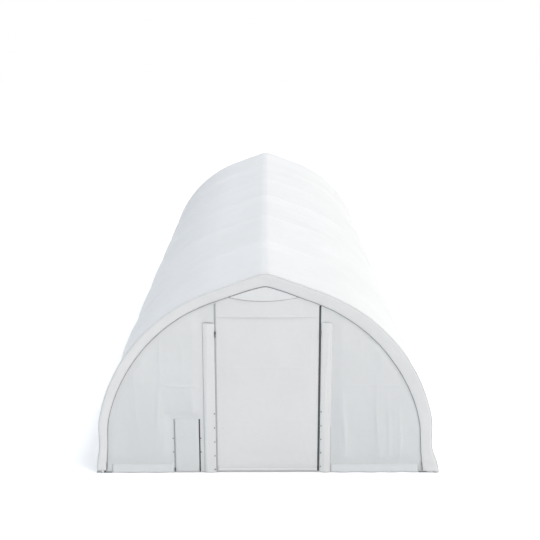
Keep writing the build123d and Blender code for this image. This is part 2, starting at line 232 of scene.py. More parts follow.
def film(name, base, rough=0.42, glow=0.2, pitch=0.0026, rip=0.013, low=0.95, soil=0.6, tint=(0.985, 0.995, 1.0), low_shade=0.0):
    """Woven, laminated polyethylene: tape weave with a ripstop grid, faint milky clouding, soil near the ground."""
    m, t = new_mat(name)
    k = Net(t)
    out = k.n("ShaderNodeOutputMaterial")
    bsdf = k.n("ShaderNodeBsdfPrincipled")
    tc = k.n("ShaderNodeTexCoord")
    uv = k.n("ShaderNodeSeparateXYZ")
    k.link(tc.outputs["UV"], uv.inputs[0])
    ob = k.n("ShaderNodeSeparateXYZ")
    k.link(tc.outputs["Object"], ob.inputs[0])
    u, v, z = uv.outputs[0], uv.outputs[1], ob.outputs[2]
    clouds = k.noise(tc.outputs["Object"], 1.1, 4.0)
    mottle = k.noise(tc.outputs["Object"], 14.0, 5.0, 0.65)
    grain = k.noise(tc.outputs["Object"], 160.0, 2.0)
    lines = []
    for c in (u, v):
        d = k.math("PINGPONG", c, rip / 2)
        lines.append(k.math("LESS_THAN", d, rip * 0.075))
    rip_mask = k.math("MAXIMUM", lines[0], lines[1])
    wu = k.math("SINE", k.math("MULTIPLY", u, 2 * math.pi / pitch))
    wv = k.math("SINE", k.math("MULTIPLY", v, 2 * math.pi / pitch))
    weave = k.math("MULTIPLY", wu, wv)
    col = k.mix(k.ramp(clouds, 0.32, 0.68), scaled(base, low), rgb(*base))
    col = k.mix(k.ramp(mottle, 0.4, 0.75, 0.0, 0.35), col, scaled((base[0] * tint[0], base[1] * tint[1], base[2] * tint[2]), 0.93))
    col = k.mix(k.math("MULTIPLY", rip_mask, 0.22), col, scaled(base, 0.86))
    col = k.mix(k.ramp(weave, -1, 1, 0.0, 0.10), col, scaled(base, 0.88))
    # painted shade: the film turns darker and bluer towards the bottom, fading out by 1.7 m and broken up by the
    # clouding
    if low_shade:
        low_shade_mask = k.math("MULTIPLY", k.ramp(z, 0.15, 1.7, low_shade, 0.0), k.ramp(clouds, 0.3, 0.7, 0.75, 1.0))
        col = k.mix(low_shade_mask, col, rgb(base[0] * 0.72, base[1] * 0.75, base[2] * 0.78))
    ground = k.math("MULTIPLY", k.ramp(z, 0.02, 0.30, 1.0, 0.0), k.ramp(mottle, 0.35, 0.7, 0.1, 0.5))
    col = k.mix(k.math("MULTIPLY", ground, soil, clamp=True), col, rgb(0.60, 0.585, 0.55))
    k.link(col, bsdf.inputs["Base Color"])
    k.link(k.ramp(mottle, 0.25, 0.75, rough - 0.07, rough + 0.10), bsdf.inputs["Roughness"])
    bsdf.inputs["Specular IOR Level"].default_value = 0.45
    height = k.math("ADD", k.math("MULTIPLY", weave, 0.25), k.math("MULTIPLY", rip_mask, 0.8))
    height = k.math("ADD", height, k.math("MULTIPLY", grain, 0.6))
    height = k.math("ADD", height, k.math("MULTIPLY", mottle, 4.0))
    normal = k.bump(height, 0.45, 0.0006)
    k.link(normal, bsdf.inputs["Normal"])
    if glow > 0:
        through = k.n("ShaderNodeBsdfTranslucent")
        k.link(col, through.inputs["Color"])
        mixer = k.n("ShaderNodeMixShader")
        mixer.inputs[0].default_value = glow
        k.link(bsdf.outputs[0], mixer.inputs[1])
        k.link(through.outputs[0], mixer.inputs[2])
        k.link(mixer.outputs[0], out.inputs[0])
    else:
        k.link(bsdf.outputs[0], out.inputs[0])
    return m


def metal(name, base, rough=0.38, metallic=0.9, spangle=70.0, strength=0.10, wear=0.0):
    """Galvanised or plated steel: spangle in the colour and the gloss, fine scratches in the bump."""
    m, t = new_mat(name)
    k = Net(t)
    out = k.n("ShaderNodeOutputMaterial")
    bsdf = k.n("ShaderNodeBsdfPrincipled")
    tc = k.n("ShaderNodeTexCoord")
    vor = k.n("ShaderNodeTexVoronoi")
    k.link(tc.outputs["Object"], vor.inputs["Vector"])
    vor.inputs["Scale"].default_value = spangle
    sep = k.n("ShaderNodeSeparateColor")
    k.link(vor.outputs["Color"], sep.inputs[0])
    cells = sep.outputs[0]
    dull = k.noise(tc.outputs["Object"], 5.0, 5.0, 0.6)
    fine = k.noise(tc.outputs["Object"], 240.0, 2.0)
    col = k.mix(cells, scaled(base, 0.88), scaled(base, 1.08))
    col = k.mix(k.ramp(dull, 0.45, 0.75, 0.0, 0.6), col, scaled((base[0] * 1.02, base[1], base[2] * 0.98), 0.78))
    if wear:
        stain = k.ramp(k.noise(tc.outputs["Object"], 23.0, 6.0, 0.7), 0.6, 0.78, 0.0, wear)
        col = k.mix(stain, col, rgb(0.30, 0.20, 0.13))
    k.link(col, bsdf.inputs["Base Color"])
    bsdf.inputs["Metallic"].default_value = metallic
    r = k.math("ADD", k.ramp(cells, 0, 1, rough - 0.06, rough + 0.06), k.ramp(dull, 0.3, 0.8, 0.0, 0.16))
    k.link(r, bsdf.inputs["Roughness"])
    k.link(k.bump(k.math("ADD", k.math("MULTIPLY", cells, 0.4), fine), strength, 0.0004), bsdf.inputs["Normal"])
    k.link(bsdf.outputs[0], out.inputs[0])
    return m


def cloth(name, base, pitch=0.0016, rough=0.75, axis=(0, 2), specular=0.3):
    """Woven tape or webbing, on object coordinates."""
    m, t = new_mat(name)
    k = Net(t)
    out = k.n("ShaderNodeOutputMaterial")
    bsdf = k.n("ShaderNodeBsdfPrincipled")
    tc = k.n("ShaderNodeTexCoord")
    ob = k.n("ShaderNodeSeparateXYZ")
    k.link(tc.outputs["Object"], ob.inputs[0])
    a = k.math("SINE", k.math("MULTIPLY", ob.outputs[axis[0]], 2 * math.pi / pitch))
    b = k.math("SINE", k.math("MULTIPLY", ob.outputs[axis[1]], 2 * math.pi / pitch))
    weave = k.math("MULTIPLY", a, b)
    mottle = k.noise(tc.outputs["Object"], 30.0, 4.0, 0.6)
    col = k.mix(k.ramp(weave, -1, 1), scaled(base, 0.78), scaled(base, 1.10))
    col = k.mix(k.ramp(mottle, 0.4, 0.75, 0.0, 0.5), col, scaled(base, 0.80))
    k.link(col, bsdf.inputs["Base Color"])
    k.link(k.ramp(mottle, 0.3, 0.7, rough - 0.08, rough + 0.1), bsdf.inputs["Roughness"])
    bsdf.inputs["Specular IOR Level"].default_value = specular
    k.link(k.bump(k.math("ADD", weave, mottle), 0.5, 0.0004), bsdf.inputs["Normal"])
    k.link(bsdf.outputs[0], out.inputs[0])
    return m


def net_screen(name):
    """Insect mesh: a fine open grid."""
    m, t = new_mat(name)
    k = Net(t)
    out = k.n("ShaderNodeOutputMaterial")
    bsdf = k.n("ShaderNodeBsdfPrincipled")
    tc = k.n("ShaderNodeTexCoord")
    uv = k.n("ShaderNodeSeparateXYZ")
    k.link(tc.outputs["UV"], uv.inputs[0])
    rows = []
    for c in (uv.outputs[0], uv.outputs[1]):
        rows.append(k.math("LESS_THAN", k.math("PINGPONG", c, 0.0010), 0.00036))
    thread = k.math("MAXIMUM", rows[0], rows[1])
    cloud = k.noise(tc.outputs["Object"], 20.0, 3.0)
    col = k.mix(k.ramp(cloud, 0.35, 0.7), rgb(0.50, 0.51, 0.52), rgb(0.66, 0.67, 0.68))
    k.link(col, bsdf.inputs["Base Color"])
    bsdf.inputs["Roughness"].default_value = 0.6
    k.link(k.bump(thread, 0.5, 0.0003), bsdf.inputs["Normal"])
    clear = k.n("ShaderNodeBsdfTransparent")
    mixer = k.n("ShaderNodeMixShader")
    k.link(k.ramp(thread, 0, 1, 0.12, 1.0), mixer.inputs[0])
    k.link(clear.outputs[0], mixer.inputs[1])
    k.link(bsdf.outputs[0], mixer.inputs[2])
    k.link(mixer.outputs[0], out.inputs[0])
    return m


M_COVER = film("cover_film", (0.89, 0.89, 0.89), rough=0.44, glow=0.20, soil=0.35)
M_HEM = film("hem_film", (0.762, 0.76, 0.755), rough=0.46, glow=0.12, soil=0.40)
M_WALL = film("wall_film", (0.772, 0.775, 0.770), rough=0.40, glow=0.18, soil=0.30, low_shade=0.34)
M_SKIRT = film("skirt_film", (0.765, 0.77, 0.765), rough=0.40, glow=0.12, soil=0.20, low_shade=0.30)
M_DOOR = film("door_film", (0.80, 0.793, 0.787), rough=0.32, glow=0.18, soil=0.25, low_shade=0.16)
M_SLEEVE = film("sleeve_film", (0.785, 0.782, 0.775), rough=0.22, glow=0.15, soil=0.25, low=0.96, low_shade=0.18)
M_FLAP = film("flap_film", (0.81, 0.81, 0.81), rough=0.42, glow=0.15, soil=0.3)
M_SCREEN = net_screen("screen_net")
M_TUBE = metal("galvanised_tube", (0.63, 0.65, 0.67), rough=0.36)
M_PLATE = metal("galvanised_plate", (0.55, 0.57, 0.59), rough=0.46, spangle=40.0, wear=0.35)
M_BOLT = metal("zinc_bolt", (0.66, 0.66, 0.63), rough=0.30, spangle=200.0)
M_STUD = metal("stud_metal", (0.17, 0.17, 0.18), rough=0.32, spangle=300.0, strength=0.05)
M_SLIDER = metal("slider_metal", (0.10, 0.10, 0.11), rough=0.35, metallic=0.6, spangle=260.0, strength=0.06)
M_BAR = metal("bar_aluminium", (0.78, 0.79, 0.80), rough=0.30, spangle=120.0)
M_TAPE = cloth("zip_tape", (0.47, 0.475, 0.48))
M_TAPE_DARK = cloth("zip_tape_dark", (0.055, 0.056, 0.06), rough=0.6)
M_TEETH = cloth("zip_teeth", (0.16, 0.165, 0.17), pitch=0.004, rough=0.4, specular=0.5)
M_TEETH_PALE = cloth("zip_teeth_pale", (0.34, 0.345, 0.35), pitch=0.004, rough=0.4, specular=0.5)
# painted shadow: dark grey cloth for the lines along the hem seams and under the vent lips, standing in for the shade
# of those recessed joins
M_SEAM_SHADOW = cloth("seam_piping", (0.20, 0.205, 0.21), pitch=0.003, rough=0.55)
M_THREAD = cloth("thread", (0.70, 0.70, 0.69), pitch=0.0008, rough=0.6)
M_WEB = cloth("webbing", (0.66, 0.66, 0.66), pitch=0.003, axis=(0, 2))

for n, o in NODES.items():
    if n.startswith("hoop_") or n.endswith("purlin") or n in ("base_rails", "end_sills", "door_post_left", "door_post_right", "door_header", "rear_posts", "tube_plugs"):
        mat = M_TUBE
    elif n in ("base_plates", "purlin_clamps"):
        mat = M_PLATE
    elif n == "clamp_bolts":
        mat = M_BOLT
    elif "slider" in n:
        mat = M_SLIDER
    elif "stud" in n:
        mat = M_STUD
    elif n == "door_bottom_bar":
        mat = M_BAR
    elif n == "door_ties":
        mat = M_WEB
    else:
        mat = M_TAPE
    o.data.materials.clear()
    o.data.materials.append(mat)


# ------------------------------------------------------------------ mesh helpers
def link_object(name, mesh):
    o = bpy.data.objects.new(name, mesh)
    scene.collection.objects.link(o)
    return o


def grid(name, P, UV, mat, facing, thick=0.0012, skip=None, rim=True):
    """A cloth sheet from a grid of points. facing is the direction its outer side looks, and the thickness goes inwards."""
    nu, nv = P.shape[:2]
    idx = np.arange(nu * nv).reshape(nu, nv)
    a, b, c, d = idx[:-1, :-1], idx[1:, :-1], idx[1:, 1:], idx[:-1, 1:]
    faces = np.stack([a, b, c, d], -1).reshape(-1, 4)
    if skip is not None:
        faces = faces[~skip.reshape(-1)]
    pts = P.reshape(-1, 3)
    q = pts[faces]
    normal = np.cross(q[:, 2] - q[:, 0], q[:, 3] - q[:, 1])
    if callable(facing):
        want = facing(q.mean(1))
    else:
        want = np.broadcast_to(np.array(facing, float), normal.shape)
    if float((normal * want).sum()) < 0:
        faces = faces[:, ::-1]
    size = np.linalg.norm(np.cross(pts[faces][:, 2] - pts[faces][:, 0], pts[faces][:, 3] - pts[faces][:, 1]), axis=1)
    faces = faces[size > 1e-9]
    used = np.unique(faces)
    remap = -np.ones(nu * nv, int)
    remap[used] = np.arange(len(used))
    faces, pts, uvs = remap[faces], pts[used], UV.reshape(-1, 2)[used]
    mesh = bpy.data.meshes.new(name)
    mesh.from_pydata(pts.tolist(), [], faces.tolist())
    layer = mesh.uv_layers.new(name="UVMap")
    layer.data.foreach_set("uv", uvs[faces.reshape(-1)].astype(np.float32).ravel())
    mesh.polygons.foreach_set("use_smooth", np.ones(len(faces), bool))
    mesh.materials.append(mat)
    mesh.update()
    o = link_object(name, mesh)
    if thick:
        s = o.modifiers.new("cloth", "SOLIDIFY")
        s.thickness = thick
        s.offset = -1.0
        s.use_even_offset = False
        s.use_rim = rim
    return o


def tube_along(name, pts, radius, mat, sides=8, closed_ends=True, flat=1.0, normal=(0, -1, 0)):
    """A round or flattened welt following points."""
    pts = np.array(pts, float)
    tan = np.gradient(pts, axis=0)
    tan /= np.linalg.norm(tan, axis=1)[:, None]
    n = np.array(normal, float)
    side = np.cross(tan, n)
    side /= np.linalg.norm(side, axis=1)[:, None]
    out = np.cross(side, tan)
    r = np.broadcast_to(np.asarray(radius, float), (len(pts),))
    ang = np.linspace(0, 2 * math.pi, sides, endpoint=False)
    ring = pts[:, None] + r[:, None, None] * (np.cos(ang)[None, :, None] * side[:, None] + flat * np.sin(ang)[None, :, None] * out[:, None])
    verts = ring.reshape(-1, 3).tolist()
    faces = []
    for i in range(len(pts) - 1):
        for j in range(sides):
            k = (j + 1) % sides
            faces.append((i * sides + j, i * sides + k, (i + 1) * sides + k, (i + 1) * sides + j))
    faces.append(tuple(range(sides))[::-1])
    last = (len(pts) - 1) * sides
    faces.append(tuple(last + j for j in range(sides)))
    return solid(name, verts, faces, mat)


def solid(name, verts, faces, mat, smooth_it=True):
    import bmesh
    mesh = bpy.data.meshes.new(name)
    mesh.from_pydata([tuple(v) for v in verts], [], faces)
    bm = bmesh.new()
    bm.from_mesh(mesh)
    bmesh.ops.recalc_face_normals(bm, faces=bm.faces)
    bm.to_mesh(mesh)
    bm.free()
    for p in mesh.polygons:
        p.use_smooth = smooth_it and len(p.vertices) <= 4
    mesh.materials.append(mat)
    mesh.update()
    return link_object(name, mesh)


def lathe_many(name, centres, profile, mat, axis=1, sign=-1.0, sides=20):
    """Turned pieces, such as studs: profile is (radius, height) from the wall outwards."""
    verts, faces = [], []
    ang = np.linspace(0, 2 * math.pi, sides, endpoint=False)
    for c in centres:
        base = len(verts)
        for r, h in profile:
            for a in ang:
                p = [c[0] + r * math.cos(a), c[1] + sign * h, c[2] + r * math.sin(a)]
                verts.append(p)
        for i in range(len(profile) - 1):
            for j in range(sides):
                k = (j + 1) % sides
                faces.append((base + i * sides + j, base + i * sides + k, base + (i + 1) * sides + k, base + (i + 1) * sides + j))
        faces.append(tuple(base + j for j in range(sides)))
        last = base + (len(profile) - 1) * sides
        faces.append(tuple(last + j for j in range(sides)))
    return solid(name, verts, faces, mat)


def stitches(name, pts, out, body, pitch=0.009, length=0.0062, radius=0.0007, mat=None):
    """A row of thread stitches lying along points, each a small six-sided bead."""
    pts = np.array(pts, float)
    seg = np.r_[0, np.cumsum(np.linalg.norm(np.diff(pts, axis=0), axis=1))]
    at = np.arange(pitch, seg[-1] - pitch, pitch)
    centre = np.stack([np.interp(at, seg, pts[:, i]) for i in range(3)], -1)
    ahead = np.stack([np.interp(at + 0.001, seg, pts[:, i]) for i in range(3)], -1)
    tan = ahead - centre
    tan /= np.linalg.norm(tan, axis=1)[:, None]
    up = np.broadcast_to(np.array(out, float), tan.shape)
    side = np.cross(tan, up)
    side /= np.linalg.norm(side, axis=1)[:, None]
    verts, faces = [], []
    for c, t, w, u in zip(centre, tan, side, up):
        b = len(verts)
        for k, r in ((-0.5, 0.35), (-0.25, 1.0), (0.25, 1.0), (0.5, 0.35)):
            for a in range(5):
                g = 2 * math.pi * a / 5
                verts.append(tuple(c + t * (k * length) + (w * math.cos(g) + u * math.sin(g)) * (radius * r)))
        for i in range(3):
            for j in range(5):
                m = (j + 1) % 5
                faces.append((b + i * 5 + j, b + i * 5 + m, b + (i + 1) * 5 + m, b + (i + 1) * 5 + j))
        faces.append(tuple(b + j for j in range(5))[::-1])
        faces.append(tuple(b + 15 + j for j in range(5)))
    o = solid(name, verts, faces, mat or M_THREAD)
    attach(o, body)
    return o


# ------------------------------------------------------------------ the long cover
def hoop_sag(y):
    """0 on the hoops, 1 midway between them, with a crisp ridge over each hoop."""
    y = np.asarray(y, float)
    edges = np.array(HOOP_Y)
    i = np.clip(np.searchsorted(edges, y) - 1, 0, len(edges) - 2)
    t = np.clip((y - edges[i] - 0.018) / (edges[i + 1] - edges[i] - 0.036), 0, 1)
    return 1 - np.abs(2 * t - 1) ** 2.4


def flare(s, y):
    """How far the skirt stands out near the ground, more on the right at the front."""
    g = HALF_LEN - np.abs(s)
    drop = smooth((0.40 - g) / 0.40) ** 1.3
    right = 0.026 + 0.078 * np.exp(-((y - Y_FRONT) / 0.8) ** 2) + 0.012 * fbm(y * 1.7, 0 * y, 5)
    left = 0.028 + 0.020 * np.exp(-((y - Y_FRONT) / 0.5) ** 2) + 0.012 * fbm(y * 1.9, 0 * y, 9)
    amount = np.where(s > 0, right, left)
    ripple = 0.009 * np.sin(y * 17 + 2.2 * vnoise(y * 2.1, 0 * y, 3)) * smooth((0.22 - g) / 0.22)
    return drop * np.maximum(amount, 0.006) + ripple


def cover_shift(s, y):
    g = HALF_LEN - np.abs(s)
    span = hoop_sag(y)
    d = -0.021 * span * smooth(g / 0.25)
    d += -0.006 * span * smooth(1 - np.abs(s) / 0.25)
    low = smooth((1.7 - g) / 1.5)
    pull = (0.0065 + 0.0060 * low) * (ridged(s * 0.9 + 0.35 * y, y * 3.1, 1) - 0.2) + (0.0012 + 0.0030 * low) * (ridged(s * 1.4 - 0.5 * y, y * 7.3, 14) - 0.2) + 0.0030 * fbm(s * 3.1, y * 7.7, 2)
    d += pull * (0.25 + 0.75 * span)
    d += 0.0011 * fbm(s * 16, y * 14, 4)
    for h in HOOP_Y:                                  # each hoop pushes the cover out along its line
        d += 0.0045 * bump_at(y, h, 0.030) * smooth(g / 0.2)
    d += 0.0016 * smooth((s - 0.002) / 0.004) * smooth((0.050 - s) / 0.004)      # the lap weld along the ridge
    for f in (-2.62, -1.31, 1.31, 2.62):              # sharp lines left from folding the cover in its carton
        d += 0.0016 * bump_at(s, f, 0.006) * (0.6 + 0.4 * vnoise(y * 1.1, 0 * y + f, 6))
    for f in np.arange(-4.0, 4.1, 0.8):
        d += 0.0013 * bump_at(y, f + 0.03, 0.006) * (0.5 + 0.5 * vnoise(s * 1.3, 0 * s + f, 8))
    return d + flare(s, y)


def spread(edge, lo, hi, step, fine, reach):
    """Sample stations, finer near the given edges."""
    pts = list(np.arange(lo, hi, step)) + [hi]
    for e in edge:
        pts += list(np.arange(max(lo, e - reach), min(hi, e + reach), fine))
    return np.unique(np.round(pts, 4))


S = spread([0.0], -HALF_LEN, HALF_LEN, 0.030, 0.012, 0.10)
YS = spread(HOOP_Y, Y_FRONT, Y_REAR, 0.036, 0.009, 0.03)
SG, YG = np.meshgrid(S, YS, indexing="ij")
X, Z, NX, NZ = arch(SG)
D = cover_shift(SG, YG)
P = np.stack([X + NX * D, YG, np.maximum(Z + NZ * D, 0.0)], -1)
cover = grid("cover_skin", P, np.stack([SG, YG], -1), M_COVER, lambda c: np.stack([c[:, 0], 0 * c[:, 0], c[:, 2] - 0.3], -1), 0.0014)
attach(cover, ROOT)
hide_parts("main_cover")

# ------------------------------------------------------------------ hems round the end hoops
SEAM_PTS = [(-3.26, 0.078), (-2.7, 0.100), (-2.0, 0.112), (-1.0, 0.114), (0.0, 0.128), (0.8, 0.140), (1.8, 0.152), (2.6, 0.138), (3.26, 0.100)]


def seam_inset(s, rear=False):
    a = np.array(SEAM_PTS)
    w = np.interp(np.asarray(s, float), a[:, 0], a[:, 1])
    if rear:
        w = np.interp(-np.abs(np.asarray(s, float)), a[:, 0], a[:, 1])
    return w


def hem_skin(name, rear):
    out = 1.0 if rear else -1.0
    y0 = Y_REAR if rear else Y_FRONT
    step = 0.016
    s = spread([0.0], -HALF_LEN, HALF_LEN, step, 0.008, 0.10)
    prof = [(-0.0018, 0.046), (-0.0020, 0.030), (-0.0016, 0.016), (0.0015, 0.007), (0.008, 0.0015), (0.018, -0.0015), (0.030, -0.0012)]
    q = np.linspace(0, 1, 12)[1:]
    rows = []
    w = seam_inset(s, rear)
    for inset, back in prof:
        rows.append((np.full_like(s, inset), np.full_like(s, back), 0.0))
    for t in q:
        rows.append((0.030 + (w - 0.030) * t, -0.0012 + 0.0135 * t ** 1.3 + 0 * s, t))
    x, z, nx, nz = arch(s)
    d = cover_shift(s, np.full_like(s, y0))
    P = np.zeros((len(rows), len(s), 3))
    UV = np.zeros((len(rows), len(s), 2))
    for i, (inset, back, t) in enumerate(rows):
        lean = d * (1 - smooth(inset / 0.12) * 0.9)
        puck = 0.0042 * (t ** 0.8) * (ridged(s * 5.5, 0 * s + 0.4 * t, 11) - 0.25) + 0.0022 * fbm(s * 9, 3 * inset / 0.1 + 0 * s, 12)
        puck += 0.006 * smooth((0.25 - (HALF_LEN - np.abs(s))) / 0.25) * np.sin(s * 45 + 3 * t) * t
        back = back - np.maximum(puck, -0.004) * smooth(t * 3)
        P[i, :, 0] = x + nx * (lean - inset)
        P[i, :, 2] = np.maximum(z + nz * (lean - inset), 0.002)
        P[i, :, 1] = y0 - out * back
        P[i, :, 2] -= 0.013 * t ** 2 * np.exp(-(P[i, :, 0] / 0.11) ** 2)
        UV[i, :, 0] = s
        UV[i, :, 1] = inset + (0.05 - back if t == 0 else 0.05)
    lift = smooth((0.10 - (HALF_LEN - np.abs(s))) / 0.10) * np.where(s < 0, 0.035, 0.012)
    P[:, :, 2] = np.maximum(P[:, :, 2], lift[None, :] * 1.0)
    o = grid(name, P, UV, M_HEM, lambda c: np.stack([0.35 * c[:, 0], 0 * c[:, 0] + out * 1.0, 0.3 * (c[:, 2] - 0.6)], -1), 0.0016)
    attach(o, ROOT)
    seam = P[-1]
    keep = seam[:, 2] > 0.012
    line = seam[keep] + np.array([0, out * 0.0020, 0])
    # painted shadow: a dark line along the hem's inner edge stands in for the shade of the recessed seam; it is thicker
    # below 0.12 m, at the dark foot
    seam_shadow_tube = tube_along(name + "_piping", line, np.where(line[:, 2] < 0.12, 0.0048, 0.0017), M_SEAM_SHADOW, sides=7, normal=(0, out, 0))
    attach(seam_shadow_tube, ROOT)
    row = P[-3] + np.array([0, out * 0.0006, 0])
    row = row[row[:, 2] > 0.02]
    stitches(name + "_stitching", row, (0, out, 0), ROOT, pitch=0.010)
    return o, seam


front_hem, FRONT_SEAM = hem_skin("front_hem_skin", False)
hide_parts("front_cover_hem")
rear_hem, REAR_SEAM = hem_skin("rear_hem_skin", True)
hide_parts("rear_cover_hem")


def seam_z(x, seam):
    """Height of the hem's inner edge at x."""
    o = np.argsort(seam[:, 0])
    xs, zs = seam[o, 0], seam[o, 2]
    keep = zs > 0.60
    return np.interp(x, xs[keep], zs[keep])


def seam_x(z, seam, side):
    part = seam[seam[:, 0] * side > 0.15]
    o = np.argsort(part[:, 2])
    return np.interp(z, part[o, 2], part[o, 0])


# ------------------------------------------------------------------ end walls
def wall_shift(x, z, seed, side):
    """How far a wall panel stands out from its plane: soft pillows, hanging folds, flat along the foot."""
    d = 0.0150 * (fbm(x * 1.6, z * 1.1, seed) + 0.6)
    d += 0.0110 * ridged(x * 3.4 + 0.5 * vnoise(z * 1.2, x, seed), z * 0.55, seed + 1) * smooth((1.5 - z) / 1.2)
    d += 0.0050 * ridged(x * 7.5, z * 1.6 + x, seed + 2) * (0.4 + 0.6 * vnoise(x, z, seed + 7) ** 2)
    d += 0.0006 * fbm(x * 22, z * 22, seed + 3)
    for f in (0.52, 1.035, 1.55):                      # carton folds
        d += 0.0030 * bump_at(z, f + 0.004 * np.sin(3 * x), 0.008) * (0.55 + 0.45 * vnoise(x * 2.1, 0 * x + f, seed + 4))
    return d * smooth((z - 0.115) / 0.10)              # flat behind the hem along the foot


def panel(name, side, x_in, seam, y0, out, mat, seed, port=None):
    step = 0.018
    z_top = float(seam_z(x_in, seam)) if side else None
    zs = spread([0.06, 1.035], 0.008, z_top - 0.003, step, 0.006, 0.06)
    if port:
        zs = np.unique(np.r_[zs[np.abs(zs - port[2]) > 0.004], port[2]])
    n = int(1.25 / step)
    t = np.linspace(0, 1, n)
    P = np.zeros((len(zs), n, 3))
    for i, z in enumerate(zs):
        xo = seam_x(z, seam, side) + side * 0.012
        P[i, :, 0] = x_in + (xo - x_in) * t
        P[i, :, 2] = z
    if port:                                           # a grid line along each edge of the port
        for i, z in enumerate(zs):
            xo = seam_x(z, seam, side) + side * 0.012
            a = np.linspace(x_in, port[1], n // 5)
            b = np.linspace(port[1], port[0], n // 5)[1:]
            c = np.linspace(port[0], min(xo, port[0] - 1e-4), n - len(a) - len(b) + 1)[1:]
            P[i, :, 0] = np.r_[a, b, c]
            if xo > port[0]:
                P[i, :, 0] = np.maximum(P[i, :, 0], xo)
    x, z = P[:, :, 0], P[:, :, 2]
    dist = np.abs(x - x_in)
    edge = smooth((dist - 0.135) / 0.13)               # flat beside the door, where the sleeve lies on it
    rim = smooth((np.abs(seam_x(z, seam, side) - x)) / 0.10)
    d = wall_shift(x, z, seed, side)
    if side < 0:
        d += 0.0075 * bump_at(z, 1.035 + 0.010 * np.sin(9 * x), 0.013) * bump_at(x, -0.92, 0.13)
        d += 0.0060 * bump_at(x, -1.22 + 0.06 * z, 0.020) * bump_at(z, 0.75, 0.30)
    else:
        for at, tall in ((1.35, 0.48), (1.22, 0.62), (0.86, 0.55), (1.47, 0.40)):
            d += 0.0085 * bump_at(x, at + 0.015 * np.sin(5 * z), 0.016) * bump_at(z, tall, 0.26)
    d = d * edge * (0.25 + 0.75 * rim)
    if port:
        near = smooth((np.maximum(np.abs(x - (port[0] + port[1]) / 2) - 0.17, z - port[2] - 0.04)) / 0.10)
        d = d * near
    P[:, :, 1] = y0 + out * (0.0012 + d)
    skip = None
    if port:
        cx, cz = (x[1:, 1:] + x[:-1, :-1]) / 2, (z[1:, 1:] + z[:-1, :-1]) / 2
        skip = (cx > port[0]) & (cx < port[1]) & (cz < port[2])
    o = grid(name, P, np.stack([x, z], -1), mat, (0, out, 0), 0.0012, skip=skip)
    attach(o, ROOT)
    q = P
    area = float(np.sum(np.abs(np.diff(zs)) * (np.abs(x[1:, -1] - x_in) + np.abs(x[:-1, -1] - x_in)) / 2))
    if port:
        area -= (port[1] - port[0]) * port[2]
    wide = float(np.abs(x[:, -1] - x_in).max())
    return o, wide, float(zs[-1]), area


PORT = (-0.985, -0.743, 0.610)
wall_left, *LEFT_SIZE = panel("front_wall_left_skin", -1, -0.534, FRONT_SEAM, Y_PANEL, -1.0, M_WALL, 21, PORT)
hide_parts("front_panel_left")
wall_right, *RIGHT_SIZE = panel("front_wall_right_skin", 1, 0.580, FRONT_SEAM, Y_PANEL, -1.0, M_WALL, 31)
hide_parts("front_panel_right")


def column_sheet(name, xs, z0, z1, rows, y0, out, mat, shift, nodes, thick=0.0012, body=ROOT):
    """A sheet between two heights that vary with x."""
    P = np.zeros((rows, len(xs), 3))
    for i, t in enumerate(np.linspace(0, 1, rows)):
        P[i, :, 0] = xs
        P[i, :, 2] = z0 + (z1 - z0) * t
    x, z = P[:, :, 0], P[:, :, 2]
    P[:, :, 1] = y0 + out * shift(x, z)
    o = grid(name, P, np.stack([x, z], -1), mat, (0, out, 0), thick)
    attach(o, body)
    if nodes:
        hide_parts(*nodes)
    return o


def foot_strip(name, x0, x1, yp, out, seed):
    """The turned-up hem along the foot of an end wall."""
    xs = np.linspace(x0, x1, max(int(abs(x1 - x0) / 0.02), 6))
    def lean(x, z):
        low = smooth((0.110 - z) / 0.10)
        return 0.0030 + 0.009 * low + 0.0032 * low * np.sin(x * 23 + seed + 2 * vnoise(x * 3, 0 * x, seed)) + 0.0012 * low * fbm(x * 14, z * 9, seed + 5)
    o = column_sheet(name, xs, np.full_like(xs, 0.006), np.full_like(xs, 0.104), 9, yp, out, M_SKIRT, lean, [], 0.0014)
    stitches(name + "_stitching", np.stack([xs, yp + out * (lean(xs, 0 * xs + 0.096) + 0.0006), np.full_like(xs, 0.096)], -1), (0, out, 0), ROOT)
    return o


# the panel above the door, up to the seam and the vent
xs = np.linspace(-0.534, 0.580, 90)
top = np.minimum(seam_z(xs, FRONT_SEAM) + 0.010, VENT_Z)
head_shift = lambda x, z: 0.0012 + 0.0040 * (fbm(x * 2.2, z * 3, 41) + 0.4) * smooth((x + 0.534) / 0.06) * smooth((0.58 - x) / 0.06) \
    + 0.0055 * bump_at(z, 1.812, 0.010) * smooth((x + 0.45) / 0.15) * smooth((0.5 - x) / 0.15)
head = column_sheet("door_head_skin", xs, np.full_like(xs, 1.8035), top, 26, Y_PANEL, -1.0, M_DOOR, head_shift, ["door_top_panel"])

foot_strip("front_foot_left_outer", -1.700, -1.016, Y_PANEL, -1.0, 22)
foot_strip("front_foot_right", 0.721, 1.690, Y_PANEL, -1.0, 32)
foot_strip("rear_foot", -1.700, 1.700, -Y_PANEL, 1.0, 52)

